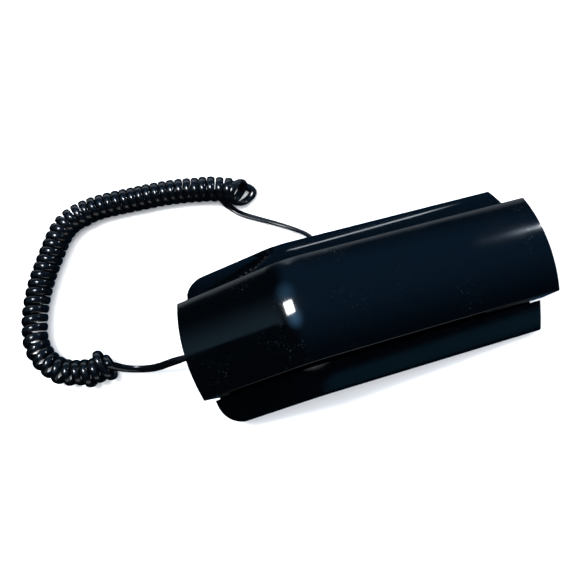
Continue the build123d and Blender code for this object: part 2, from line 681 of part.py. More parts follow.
BOARD_MIDDLE = -21.0
BOARD_LENGTH = 84.0
BOARD_WIDTH = 48.0
BOARD_BOTTOM = 9.0
BOARD_TOP = BOARD_BOTTOM + BOARD_THICKNESS
BOARD_POST_X = 38.0
BOARD_POST_Y = 20.0
BOARD_POST_POSITIONS = [(BOARD_MIDDLE + a * BOARD_POST_X, b * BOARD_POST_Y) for a in (-1, 1) for b in (-1, 1)]

LINE_JACK_Z = 8.2            # six-position socket in the mouth end of the base
LINE_JACK_WIDTH = 13.0
LINE_JACK_HEIGHT = 9.4
LINE_OPENING_WIDTH = 9.9
LINE_OPENING_HEIGHT = 6.8
LINE_JACK_DEPTH = 14.0

RINGER_X = 69.0
RINGER_RADIUS = 13.0
RINGER_HEIGHT = 4.4
RINGER_HOLE_RING = 6.0
WEIGHT_X = -8.0
WEIGHT_LENGTH = 36.0
WEIGHT_WIDTH = 30.0
WEIGHT_HEIGHT = 4.0

SLIDER_Z = 8.6
SLIDER_X = {"ringer": 26.0, "dial_mode": 44.0}
SLIDER_STEM = 3.0
SLIDER_STEM_HEIGHT = 2.6
SLIDER_TRAVEL = 2.5
SLIDER_SLOT_LENGTH = SLIDER_STEM + 2 * SLIDER_TRAVEL + 0.6
SLIDER_SLOT_HEIGHT = SLIDER_STEM_HEIGHT + 0.4


def tub_wall(z):
    """Outer half width of the lower housing at a height."""
    return TUB_HALF_WIDTH + (z - TUB_BOTTOM) * TUB_GROWTH


WALL_AT_SLIDER = tub_wall(SLIDER_Z)
TUB_END = KNEE_X + TUB_LEFT

with BuildPart() as base_lower_housing:
    with BuildSketch(Plane((TUB_MIDDLE, 0, TUB_BOTTOM))):
        rounded_plan(TUB_HALF_WIDTH, TUB_LENGTH, TUB_LEFT_CORNER, TUB_RIGHT_CORNER)
    extrude(amount=50, taper=-TUB_TAPER)
    growth = TUB_FLOOR * TUB_GROWTH - TUB_WALL
    with BuildSketch(Plane((TUB_MIDDLE, 0, TUB_FLOOR_TOP))):
        rounded_plan(TUB_HALF_WIDTH + growth, TUB_LENGTH + 2 * growth, TUB_LEFT_CORNER - TUB_WALL, 0.5)
    extrude(amount=50, taper=-TUB_TAPER, mode=Mode.SUBTRACT)
    # everything above the housing's bent top edge is cut away
    with BuildSketch(Plane.XZ):
        with BuildLine():
            left_top = shoulder_point(-SHOULDER_REACH, -TUB_TOP_DROP)
            knee_top = shoulder_point(0, -TUB_TOP_DROP)
            right_top = shoulder_point(SHOULDER_REACH, -TUB_TOP_DROP)
            FilletPolyline(
                (left_top.X, left_top.Z),
                (knee_top.X, knee_top.Z),
                (right_top.X, right_top.Z),
                radius=SHOULDER_RADIUS - TUB_TOP_DROP,
            )
            Polyline(
                (right_top.X, right_top.Z),
                (right_top.X, 150),
                (left_top.X, 150),
                (left_top.X, left_top.Z),
            )
        make_face()
    extrude(amount=60, both=True, mode=Mode.SUBTRACT)
    # posts of the circuit board
    with BuildSketch(Plane.XY.offset(TUB_FLOOR_TOP - 0.5)):
        with Locations(*BOARD_POST_POSITIONS):
            Circle(3)
    extrude(amount=BOARD_BOTTOM - TUB_FLOOR_TOP + 0.5)
    with BuildSketch(Plane.XY.offset(TUB_FLOOR_TOP)):
        with Locations(*BOARD_POST_POSITIONS):
            Circle(1.05)
    extrude(amount=BOARD_BOTTOM - TUB_FLOOR_TOP, mode=Mode.SUBTRACT)
    # recesses of the rubber pads
    with BuildSketch(Plane.XY.offset(TUB_BOTTOM)):
        with Locations(*FOOT_POSITIONS):
            Circle(FOOT_RADIUS + 0.1)
    extrude(amount=FOOT_RECESS, mode=Mode.SUBTRACT)
    # screw holes with counterbores
    with BuildSketch(Plane.XY.offset(TUB_BOTTOM)):
        with Locations(*BASE_SCREW_POSITIONS):
            Circle(SCREW_RADIUS + 0.2)
    extrude(amount=TUB_FLOOR, mode=Mode.SUBTRACT)
    with BuildSketch(Plane.XY.offset(TUB_BOTTOM)):
        with Locations(*BASE_SCREW_POSITIONS):
            Circle(SCREW_HEAD_RADIUS + 0.1)
    extrude(amount=SCREW_HEAD_HEIGHT, mode=Mode.SUBTRACT)
    # keyholes for the studs of a wall plate; the narrow slots point to the ear end, which hangs upwards
    with BuildSketch(Plane.XY.offset(TUB_BOTTOM)):
        with Locations((-STUD_SPACING / 2, 0), (STUD_SPACING / 2, 0)):
            Circle(KEYHOLE_RADIUS)
        with Locations(
            ((KEYHOLE_SLOT_TRAVEL - STUD_SPACING) / 2, 0),
            ((KEYHOLE_SLOT_TRAVEL + STUD_SPACING) / 2, 0),
        ):
            Rectangle(KEYHOLE_SLOT_TRAVEL, KEYHOLE_SLOT_WIDTH)
        with Locations(
            (KEYHOLE_SLOT_TRAVEL - STUD_SPACING / 2, 0),
            (KEYHOLE_SLOT_TRAVEL + STUD_SPACING / 2, 0),
        ):
            Circle(KEYHOLE_SLOT_WIDTH / 2)
    extrude(amount=TUB_FLOOR, mode=Mode.SUBTRACT)
    # sound holes under the ringer
    with BuildSketch(Plane.XY.offset(TUB_BOTTOM)):
        with Locations((RINGER_X, 0)):
            with PolarLocations(RINGER_HOLE_RING, 6):
                Circle(1)
    extrude(amount=TUB_FLOOR, mode=Mode.SUBTRACT)
    # openings of the two sockets
    base_jack_front = (BASE_JACK_X, TUB_HALF_WIDTH - 5, BASE_JACK_Z)
    with BuildSketch(Plane(base_jack_front, x_dir=(-1, 0, 0), z_dir=(0, 1, 0))):
        Rectangle(PLUG_WIDTH + 2 * PLUG_SLACK, PLUG_HEIGHT + 2 * PLUG_SLACK)
    extrude(amount=10, mode=Mode.SUBTRACT)
    with BuildSketch(Plane((TUB_END + 5, 0, LINE_JACK_Z), x_dir=(0, 1, 0), z_dir=(-1, 0, 0))):
        Rectangle(LINE_OPENING_WIDTH, LINE_OPENING_HEIGHT)
    extrude(amount=10, mode=Mode.SUBTRACT)
    # slots of the two slide switches
    with BuildSketch(Plane((0, -TUB_HALF_WIDTH + 5, SLIDER_Z), x_dir=(1, 0, 0), z_dir=(0, -1, 0))):
        with Locations(*((x, 0) for x in SLIDER_X.values())):
            Rectangle(SLIDER_SLOT_LENGTH, SLIDER_SLOT_HEIGHT)
    extrude(amount=10, mode=Mode.SUBTRACT)
save(base_lower_housing, "base_lower_housing")

with BuildPart() as base_feet:
    with BuildSketch(Plane.XY):
        with Locations(*FOOT_POSITIONS):
            Circle(FOOT_RADIUS)
    extrude(amount=TUB_BOTTOM + FOOT_RECESS)
    fillet(base_feet.edges().group_by(Axis.Z)[0], 0.5)
save(base_feet, "base_feet")

with BuildPart() as base_screws:
    with BuildSketch(Plane.XY.offset(TUB_BOTTOM + 0.1)):
        with Locations(*BASE_SCREW_POSITIONS):
            Circle(SCREW_HEAD_RADIUS)
    extrude(amount=SCREW_HEAD_HEIGHT - 0.15)
    with BuildSketch(Plane.XY.offset(TUB_BOTTOM + SCREW_HEAD_HEIGHT - 0.2)):
        with Locations(*BASE_SCREW_POSITIONS):
            Circle(SCREW_RADIUS)
    extrude(amount=9)
    with BuildSketch(Plane.XY.offset(TUB_BOTTOM + 0.1)):
        with Locations(*BASE_SCREW_POSITIONS):
            Rectangle(2.6, 0.6)
            Rectangle(0.6, 2.6)
    extrude(amount=0.7, mode=Mode.SUBTRACT)
save(base_screws, "base_screws")

# ------------------------------------------------------------------ base: electrical pieces
with BuildPart() as base_board:
    with BuildSketch(Plane.XY.offset(BOARD_BOTTOM)):
        with Locations((BOARD_MIDDLE, 0)):
            Rectangle(BOARD_LENGTH, BOARD_WIDTH)
        with Locations(*BOARD_POST_POSITIONS):
            Circle(1.25, mode=Mode.SUBTRACT)
    extrude(amount=BOARD_THICKNESS)
    with BuildSketch(Plane.XY.offset(BOARD_TOP)):
        with Locations((BOARD_MIDDLE - 20, 8), (BOARD_MIDDLE - 20, -8)):
            Circle(4)
        with Locations((BOARD_MIDDLE + 24, 0)):
            Rectangle(7, 20)
    extrude(amount=4)
save(base_board, "base_board")

with BuildPart() as board_screws:
    with BuildSketch(Plane.XY.offset(BOARD_TOP)):
        with Locations(*BOARD_POST_POSITIONS):
            Circle(2)
    extrude(amount=1.2)
    with BuildSketch(Plane.XY.offset(BOARD_TOP - 6)):
        with Locations(*BOARD_POST_POSITIONS):
            Circle(1)
    extrude(amount=6.2)
save(board_screws, "board_screws")

# the hook switch: a plunger that the handset holds down, its spring and the switch under it
PLUNGER_TOP_GAP = 0.1
FLANGE_TOP = floor_height(PLUNGER_X) - BASE_WALL / EAR_COS - 1.2 - PLUNGER_TRAVEL
FLANGE_THICKNESS = 1.5
FLANGE_BOTTOM = FLANGE_TOP - FLANGE_THICKNESS
STEM_RADIUS = 2.2
STEM_BOTTOM = BOARD_TOP + 0.8
SWITCH_HEIGHT = 5.4
SWITCH_TOP = BOARD_TOP + SWITCH_HEIGHT
SPRING_RADIUS = 3.6
SPRING_WIRE = 0.3
SPRING_BOTTOM = SWITCH_TOP + SPRING_WIRE + 0.05
SPRING_LENGTH = FLANGE_BOTTOM - SPRING_BOTTOM - SPRING_WIRE - 0.05
SPRING_TURNS = 4

with BuildPart() as hook_plunger:
    with BuildSketch(Plane.XY.offset(FLANGE_BOTTOM)):
        with Locations((PLUNGER_X, 0)):
            Rectangle(PLUNGER_X_WIDTH, PLUNGER_Y_WIDTH)
    extrude(amount=30)
    # its top lies flat against the handset's inner face
    with BuildSketch(EAR_LIMB.offset(-HANDSET_DEPTH - PLUNGER_TOP_GAP)):
        with Locations((PLUNGER_U, 0)):
            Rectangle(60, 60)
    extrude(amount=40, mode=Mode.SUBTRACT)
    with BuildSketch(Plane.XY.offset(FLANGE_BOTTOM)):
        with Locations((PLUNGER_X, 0)):
            Rectangle(PLUNGER_X_WIDTH + 4, PLUNGER_Y_WIDTH + 4)
    extrude(amount=FLANGE_THICKNESS)
    with BuildSketch(Plane.XY.offset(STEM_BOTTOM)):
        with Locations((PLUNGER_X, 0)):
            Circle(STEM_RADIUS)
    extrude(amount=FLANGE_BOTTOM - STEM_BOTTOM)
save(hook_plunger, "hook_plunger")

with BuildPart() as hook_spring:
    with BuildLine():
        Helix(
            pitch=SPRING_LENGTH / SPRING_TURNS,
            height=SPRING_LENGTH,
            radius=SPRING_RADIUS,
            center=(PLUNGER_X, 0, SPRING_BOTTOM),
        )
    with BuildSketch(Plane((PLUNGER_X + SPRING_RADIUS, 0, SPRING_BOTTOM), x_dir=(1, 0, 0), z_dir=(0, 1, 0))):
        Circle(SPRING_WIRE)
    sweep(is_frenet=True)
save(hook_spring, "hook_spring")

with BuildPart() as hook_switch:
    with BuildSketch(Plane.XY.offset(BOARD_TOP)):
        with Locations((PLUNGER_X, 0)):
            Rectangle(14, 12)
            Circle(STEM_RADIUS + 0.3, mode=Mode.SUBTRACT)
    extrude(amount=SWITCH_HEIGHT)
save(hook_switch, "hook_switch")

with BuildPart() as ringer_sounder:
    with BuildSketch(Plane.XY.offset(TUB_FLOOR_TOP)):
        with Locations((RINGER_X, 0)):
            Circle(RINGER_RADIUS)
    extrude(amount=RINGER_HEIGHT)
    with BuildSketch(Plane.XY.offset(TUB_FLOOR_TOP)):
        with Locations((RINGER_X, 0)):
            Circle(RINGER_RADIUS - 1.5)
    extrude(amount=RINGER_HEIGHT - 2, mode=Mode.SUBTRACT)
save(ringer_sounder, "ringer_sounder")

with BuildPart() as base_weight:
    with BuildSketch(Plane.XY.offset(TUB_FLOOR_TOP)):
        with Locations((WEIGHT_X, 0)):
            RectangleRounded(WEIGHT_LENGTH, WEIGHT_WIDTH, 2)
    extrude(amount=WEIGHT_HEIGHT)
save(base_weight, "base_weight")


def make_slide_switch(name, x):
    """A slide switch behind the lower housing's wall and the knob that sticks out of its slot."""
    inside = -(WALL_AT_SLIDER - TUB_WALL) + 0.5
    with BuildPart() as knob:
        with BuildSketch(Plane((x, inside, SLIDER_Z), x_dir=(1, 0, 0), z_dir=(0, -1, 0))):
            Rectangle(SLIDER_STEM, SLIDER_STEM_HEIGHT)
        extrude(amount=TUB_WALL + 1.9)
        with BuildSketch(Plane((x, inside, SLIDER_Z), x_dir=(1, 0, 0), z_dir=(0, -1, 0))):
            Rectangle(SLIDER_STEM + 5, SLIDER_STEM_HEIGHT + 2)
        extrude(amount=-0.8)
    save(knob, f"{name}_slider")
    with BuildPart() as switch:
        with BuildSketch(Plane((x, inside + 0.9, SLIDER_Z), x_dir=(1, 0, 0), z_dir=(0, -1, 0))):
            Rectangle(15, 6)
        extrude(amount=-5.5)
    save(switch, f"{name}_switch")


for switch_name, switch_x in SLIDER_X.items():
    make_slide_switch(switch_name, switch_x)

# ------------------------------------------------------------------ sockets and plugs
PLUG_LENGTH = JACK_DEPTH - 2.0


def make_jack(name, mouth, width, height, opening_width, opening_height, depth):
    """A modular socket behind its opening; the mouth plane's z points into the housing."""
    with BuildPart() as jack:
        with BuildSketch(mouth):
            Rectangle(width, height)
        extrude(amount=depth)
        with BuildSketch(mouth):
            Rectangle(opening_width, opening_height)
        extrude(amount=depth - 1.5, mode=Mode.SUBTRACT)
    save(jack, name)


def make_plug(name, mouth, reach):
    """A four-position plug; reach is how far it stands out of the socket's mouth plane."""
    with BuildPart() as plug:
        with BuildSketch(mouth.offset(-reach)):
            Rectangle(PLUG_WIDTH, PLUG_HEIGHT)
        extrude(amount=reach + PLUG_LENGTH)
        # grooves beside the spring latch
        with BuildSketch(mouth.offset(-reach)):
            with Locations((1.9, PLUG_HEIGHT / 2 - 0.4), (-1.9, PLUG_HEIGHT / 2 - 0.4)):
                Rectangle(0.5, 0.8)
        extrude(amount=reach + PLUG_LENGTH, mode=Mode.SUBTRACT)
    save(plug, name)


HANDSET_SOCKET = across_mouth(along_mouth(MOUTH_LENGTH - HANDSET_WALL - GAP, -HANDSET_JACK_DEPTH))
BASE_SOCKET_Y = tub_wall(BASE_JACK_Z) - TUB_WALL - 0.4
BASE_SOCKET = Plane((BASE_JACK_X, BASE_SOCKET_Y, BASE_JACK_Z), x_dir=(1, 0, 0), z_dir=(0, -1, 0))
LINE_SOCKET = Plane((TUB_END + TUB_WALL + 0.4, 0, LINE_JACK_Z), x_dir=(0, 1, 0), z_dir=(1, 0, 0))
CAVITY_WIDTH = PLUG_WIDTH + 2 * PLUG_SLACK
CAVITY_HEIGHT = PLUG_HEIGHT + 2 * PLUG_SLACK

make_jack("handset_jack", HANDSET_SOCKET, JACK_WIDTH, JACK_HEIGHT, CAVITY_WIDTH, CAVITY_HEIGHT, JACK_DEPTH)
make_jack("base_cord_jack", BASE_SOCKET, JACK_WIDTH, JACK_HEIGHT, CAVITY_WIDTH, CAVITY_HEIGHT, JACK_DEPTH)
make_jack(
    "line_jack",
    LINE_SOCKET,
    LINE_JACK_WIDTH,
    LINE_JACK_HEIGHT,
    LINE_OPENING_WIDTH,
    LINE_OPENING_HEIGHT,
    LINE_JACK_DEPTH,
)

PLUG_REACH = HANDSET_WALL + GAP + PLUG_OUTSIDE
make_plug("handset_cord_plug", HANDSET_SOCKET, PLUG_REACH)
make_plug("base_cord_plug", BASE_SOCKET, PLUG_REACH)

# ------------------------------------------------------------------ the curly handset cord
BASE_PLUG_BACK = BASE_SOCKET.offset(-PLUG_REACH).origin
HANDSET_PLUG_BACK = HANDSET_SOCKET.offset(-PLUG_REACH).origin

# from the plug in the base, under the wing and along the table to the curled part
BASE_TAIL_ROUTE = [
    (BASE_PLUG_BACK.X, BASE_PLUG_BACK.Y, BASE_PLUG_BACK.Z),
    (-16.8, 51.5, 7.8),
    (-23.0, 58.5, 5.0),
    (-33.5, 67.0, 2.8),
    (-46.0, 75.2, 2.6),
    (-54.8, 80.8, 2.6),
    (-58.8, 88.2, 2.6),
    (-68.0, 94.5, 3.2),
]
# the curled part, from its base end round to its handset end
COIL_ROUTE = [
    (-49.0, 91.5, 8.4),
    (-66.5, 100.5, 8.4),
    (-92.0, 107.5, 8.4),
    (-119.5, 110.5, 8.4),
    (-145.5, 113.0, 8.4),
    (-165.5, 108.5, 8.4),
    (-178.0, 91.5, 8.4),
    (-190.0, 74.0, 8.4),
    (-198.5, 54.0, 8.4),
    (-201.5, 34.5, 8.4),
    (-191.5, 17.5, 8.4),
    (-174.5, 11.5, 8.4),
    (-157.5, 10.5, 8.4),
]
# from the curled part up to the plug in the handset's mouth end
HANDSET_TAIL_ROUTE = [
    (-159.0, 13.5, 4.6),
    (-150.0, 8.9, 4.8),
    (-142.0, 5.2, 6.6),
    (-131.5, 2.4, 11.4),
    (-120.5, 0.8, 18.4),
    (-110.5, 0.0, 23.0),
    (HANDSET_PLUG_BACK.X, HANDSET_PLUG_BACK.Y, HANDSET_PLUG_BACK.Z),
]
ARC_SHARE = 0.45             # each arc takes this share of its shorter run


def arc_radii(name, route):
    """Largest arc that the two runs beside each point allow; the radii are printed."""
    points = [Vector(*point) for point in route]
    radii = []
    for before, corner, after in zip(points, points[1:], points[2:]):
        arriving = corner - before
        leaving = after - corner
        shorter = min(arriving.length, leaving.length)
        half_turn = math.radians(arriving.get_angle(leaving)) / 2
        radii.append(ARC_SHARE * shorter / math.tan(half_turn))
    print(name, "arc radii", [round(radius, 1) for radius in radii])
    return radii


def cord_tube(name, route, diameter):
    """A round tube along straight runs joined by tangent arcs."""
    start = Vector(*route[0])
    direction = Vector(*route[1]) - start
    with BuildPart() as tube:
        with BuildLine() as line:
            FilletPolyline(*route, radius=arc_radii(name, route))
        with BuildSketch(Plane(origin=start, z_dir=direction)):
            Circle(diameter / 2)
        sweep()
    length = line.wire().length
    expected = math.pi * diameter**2 / 4 * length
    share = round(tube.part.volume / expected, 4)
    print(name, "length", round(length, 1), "volume over section times length", share)
    return tube


save(cord_tube("cord_tail_base", BASE_TAIL_ROUTE, CORD_WIDTH), "cord_tail_base")
save(cord_tube("cord_coil", COIL_ROUTE, COIL_DIAMETER), "cord_coil")

full_handset_tail = cord_tube("cord_tail_handset", HANDSET_TAIL_ROUTE, CORD_WIDTH)
coil_last = Vector(*COIL_ROUTE[-1])
coil_direction = coil_last - Vector(*COIL_ROUTE[-2])

with BuildPart() as cord_tail_handset:
    add(full_handset_tail.part)
    # trimmed to lie flat against the end of the curled part
    with BuildSketch(Plane(origin=coil_last, z_dir=coil_direction).offset(GAP)):
        Rectangle(60, 60)
    extrude(amount=-40, mode=Mode.SUBTRACT)
save(cord_tail_handset, "cord_tail_handset")
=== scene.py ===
"""Slimline wall telephone lying on its back, with its curly cord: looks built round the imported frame.

Lengths are in metres.  The frame's +X runs along the phone to the ear end, +Z away from the wall face.
"""
import math

import bmesh
import bpy
from mathutils import Matrix, Vector


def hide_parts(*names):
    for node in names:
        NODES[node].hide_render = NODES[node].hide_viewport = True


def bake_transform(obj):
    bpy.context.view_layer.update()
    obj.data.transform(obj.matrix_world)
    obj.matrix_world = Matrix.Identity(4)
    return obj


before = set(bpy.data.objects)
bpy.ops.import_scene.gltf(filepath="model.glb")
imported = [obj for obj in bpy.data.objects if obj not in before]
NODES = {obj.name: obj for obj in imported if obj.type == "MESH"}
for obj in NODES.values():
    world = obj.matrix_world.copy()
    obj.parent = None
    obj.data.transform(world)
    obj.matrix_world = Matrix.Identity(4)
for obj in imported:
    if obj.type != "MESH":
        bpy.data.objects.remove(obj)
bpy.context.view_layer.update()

UP = Vector((0, 0, 1))


# ---------------------------------------------------------------- camera
CAMERA_PLACE = (-0.0408, -0.0634, 0.4377)
CAMERA_LEAN = 11.6
CAMERA_TURN = -17.43
SENSOR_WIDTH = 36.0
LENS = 44.3
NEAREST_SEEN = 0.01


def make_camera():
    """Camera above the phone, leaning towards the far side and turned so that the phone climbs right."""
    data = bpy.data.cameras.new("camera")
    data.sensor_width = SENSOR_WIDTH
    data.lens = LENS
    data.clip_start = NEAREST_SEEN
    camera = bpy.data.objects.new("camera", data)
    lean = Matrix.Rotation(math.radians(CAMERA_LEAN), 4, "X")
    turn = Matrix.Rotation(math.radians(CAMERA_TURN), 4, "Z")
    camera.matrix_world = Matrix.Translation(CAMERA_PLACE) @ lean @ turn
    bpy.context.scene.collection.objects.link(camera)
    bpy.context.scene.camera = camera


make_camera()


# ---------------------------------------------------------------- helpers for meshes
def new_object(name, vertices, faces):
    """A smooth-shaded mesh object in the frame."""
    mesh = bpy.data.meshes.new(name)
    mesh.from_pydata(vertices, [], faces)
    mesh.validate()
    for polygon in mesh.polygons:
        polygon.use_smooth = True
    made = bpy.data.objects.new(name, mesh)
    bpy.context.scene.collection.objects.link(made)
    return made


def outward(made):
    """Turns every face of a closed mesh outwards."""
    work = bmesh.new()
    work.from_mesh(made.data)
    bmesh.ops.recalc_face_normals(work, faces=work.faces)
    work.to_mesh(made.data)
    work.free()


def nurbs_line(name, controls, steps):
    """Points along the smooth NURBS line that has these control points."""
    curve = bpy.data.curves.new(name, "CURVE")
    curve.dimensions = "3D"
    curve.resolution_u = steps
    spline = curve.splines.new("NURBS")
    spline.points.add(len(controls) - 1)
    for point, place in zip(spline.points, controls):
        point.co = (place[0], place[1], place[2], 1.0)
    spline.order_u = 3
    spline.use_endpoint_u = True
    holder = bpy.data.objects.new(name, curve)
    line = bpy.data.meshes.new_from_object(holder)
    points = [vertex.co.copy() for vertex in line.vertices]
    bpy.data.objects.remove(holder)
    bpy.data.meshes.remove(line)
    bpy.data.curves.remove(curve)
    return points


# ---------------------------------------------------------------- the cord
CORD_WIDTH = 0.0049
CORD_THICKNESS = 0.0027
SECTION_POINTS = 28
# the groove's depth is a share of the half thickness, its place and width are shares of the half width
GROOVE_DEPTH = 0.07
GROOVE_PLACE = -0.30
GROOVE_WIDTH = 0.16
BASE_TAIL_ROUTE = [
    (-0.0165, 0.0438, 0.0090),
    (-0.0168, 0.0515, 0.0078),
    (-0.0230, 0.0585, 0.0050),
    (-0.0335, 0.0670, 0.0028),
    (-0.0460, 0.0752, 0.0026),
    (-0.0555, 0.0815, 0.0026),
    (-0.0605, 0.0875, 0.0023),
]
# the tail's last bend lies under the first turns and leads into the loose end ring
UNDER_ROUTE = [
    (-0.0635, 0.0930, 0.0018),
    (-0.0645, 0.0985, 0.0017),
    (-0.0620, 0.1025, 0.0017),
    (-0.0560, 0.1035, 0.0017),
    (-0.0500, 0.1010, 0.0018),
    (-0.0450, 0.0970, 0.0020),
]
COIL_HEIGHT = 0.0084
COIL_ROUTE = [
    (-0.0490, 0.0915, COIL_HEIGHT),
    (-0.0665, 0.1005, COIL_HEIGHT),
    (-0.0920, 0.1075, COIL_HEIGHT),
    (-0.1195, 0.1105, COIL_HEIGHT),
    (-0.1455, 0.1130, COIL_HEIGHT),
    (-0.1655, 0.1085, COIL_HEIGHT),
    (-0.1780, 0.0915, COIL_HEIGHT),
    (-0.1900, 0.0740, COIL_HEIGHT),
    (-0.1985, 0.0540, COIL_HEIGHT),
    (-0.2015, 0.0345, COIL_HEIGHT),
    (-0.1915, 0.0175, COIL_HEIGHT),
    (-0.1745, 0.0115, COIL_HEIGHT),
    (-0.1575, 0.0105, COIL_HEIGHT),
]
HANDSET_TAIL_ROUTE = [
    (-0.1545, 0.0090, 0.0105),
    (-0.1490, 0.0065, 0.0062),
    (-0.1400, 0.0036, 0.0062),
    (-0.1310, 0.0014, 0.0110),
    (-0.1205, 0.0008, 0.0184),
    (-0.1105, 0.0000, 0.0230),
    (-0.1013, 0.0000, 0.0266),
]
COIL_OUTER_RADIUS = 0.00825
COIL_MARGIN = 0.0001
COIL_RADIUS = COIL_OUTER_RADIUS - CORD_THICKNESS / 2 - COIL_MARGIN
# where the loose ring at the coil's start and the loop at its end fade into plain turns
END_RING_REACH = (0.0025, 0.0110)
END_LOOP_REACH = (0.002, 0.010)
# the coil rests on the cord's tail at its start
START_LIFT = 0.0026
START_LIFT_REACH = (0.020, 0.034)
END_RING_DROP = 0.0014
WHOLE_LIFT = 0.0004
# two slow waves from turn to turn, in radians per turn, change the radius and the lean of the turns
WOBBLE_RATES = (1.7, 0.61)
WOBBLE_RADIUS = 0.010
WOBBLE_LEAN = 0.03
END_RING_RADIUS = 0.08
END_RING_LEAN = 0.42
END_RING_SLANT = 0.50
END_LOOP_SLANT = 0.35
# places counted in control points from the coil's start, where the section turns from tail to coil
BASE_TURNING = (-2.0, 1.5)
# and how many control points on either side of the coil's end it takes to turn back
HANDSET_TURNING = 1.5
# how far the tails stand on edge: (amount, from, to) in control points outwards from the coil
BASE_EDGE_UP = [(1.0, 6.5, 8.0), (1.6, 8.5, 12.0)]
HANDSET_EDGE_UP = (0.7, 1.0, 3.0)
POINTS_PER_TURN = 16
TURNS = 46.6
START_ANGLE = -120.0
# steps between two control points of the guide line and of the cord itself
GUIDE_STEPS = 24
PATH_STEPS = 4
# (share of the coil's length, distance from turn to turn)
PITCHES = [
    (0.00, 0.0062),
    (0.06, 0.0056),
    (0.12, 0.0051),
    (0.62, 0.0052),
    (0.72, 0.0060),
    (0.86, 0.0066),
    (0.92, 0.0058),
    (1.00, 0.0050),
]
# (place along the coil, reach along it, direction round it in degrees, how far out)
STRAY_TURNS = [
    (0.2210, 0.0022, 180.0, 0.0012),
    (0.2420, 0.0024, 180.0, 0.0022),
    (0.2505, 0.0026, 20.0, 0.0050),
    (0.1080, 0.0030, 0.0, 0.0007),
]


def pitch_at(share):
    """Distance between neighbouring turns at a share of the coil's length."""
    for (left, low), (right, high) in zip(PITCHES, PITCHES[1:]):
        if share <= right:
            return low + (high - low) * (share - left) / (right - left)
    return PITCHES[-1][1]


def ramp(value, low, high):
    """0 below low, 1 above high, smooth between them."""
    t = min(max((value - low) / (high - low), 0.0), 1.0)
    return t * t * (3 - 2 * t)


def lengths_along(points):
    """Distance of each point from the first, along the line."""
    total = 0.0
    found = [0.0]
    for first, second in zip(points, points[1:]):
        total += (second - first).length
        found.append(total)
    return found


def at_length(points, lengths, wanted):
    """Point and direction of a line at a distance from its start."""
    index = 0
    while index < len(lengths) - 2 and lengths[index + 1] < wanted:
        index += 1
    step = lengths[index + 1] - lengths[index]
    share = (wanted - lengths[index]) / step
    point = points[index].lerp(points[index + 1], share)
    return point, (points[index + 1] - points[index]).normalized()


def stray(place, angle):
    """Extra radius of the few turns that have slipped out of line."""
    extra = 0.0
    for where, width, direction, amount in STRAY_TURNS:
        share = math.exp(-(((place - where) / width) ** 2))
        extra += amount * share * max(0.0, math.cos(angle - math.radians(direction))) ** 2
    return extra


def coil_turns():
    """Control points of the turns, with the coil's own direction at each."""
    guide = nurbs_line("coil_guide", COIL_ROUTE, GUIDE_STEPS)
    lengths = lengths_along(guide)
    total = lengths[-1]
    count = round(TURNS * POINTS_PER_TURN)
    steps = [pitch_at(index / count) for index in range(count)]
    scale = total / sum(steps)
    controls = []
    place = 0.0
    for index in range(count):
        angle = math.radians(START_ANGLE + 360 * index / POINTS_PER_TURN)
        centre, along = at_length(guide, lengths, place)
        side = UP.cross(along).normalized()
        turn = index / POINTS_PER_TURN
        # each turn is a little larger and more aslant than its neighbours, or less
        wobble = 0.5 * math.sin(WOBBLE_RATES[0] * turn) + 0.5 * math.sin(WOBBLE_RATES[1] * turn + 1.0)
        end_ring = 1 - ramp(place, *END_RING_REACH)
        end_loop = 1 - ramp(total - place, *END_LOOP_REACH)
        larger = 1 + WOBBLE_RADIUS * wobble + END_RING_RADIUS * end_ring
        radius = COIL_RADIUS * larger + stray(place, angle)
        lift = START_LIFT * (1 - ramp(place, *START_LIFT_REACH)) - END_RING_DROP * end_ring + WHOLE_LIFT
        across = radius * math.cos(angle)
        rise = radius * math.sin(angle)
        lean = WOBBLE_LEAN * wobble + END_RING_LEAN * end_ring
        slant = END_RING_SLANT * end_ring - END_LOOP_SLANT * end_loop
        aslant = lean * rise + slant * across
        controls.append((centre + side * across + UP * (rise + lift) + along * aslant, along))
        place += scale * steps[index]
    return controls


def cord_section(turn):
    """Point of the flat oval section; each broad side has a shallow groove between two rounded ridges."""
    across = math.cos(turn)
    rise = math.sin(turn)
    groove = 1 - GROOVE_DEPTH * math.exp(-(((across - GROOVE_PLACE) / GROOVE_WIDTH) ** 2))
    return CORD_WIDTH / 2 * across, CORD_THICKNESS / 2 * rise * groove


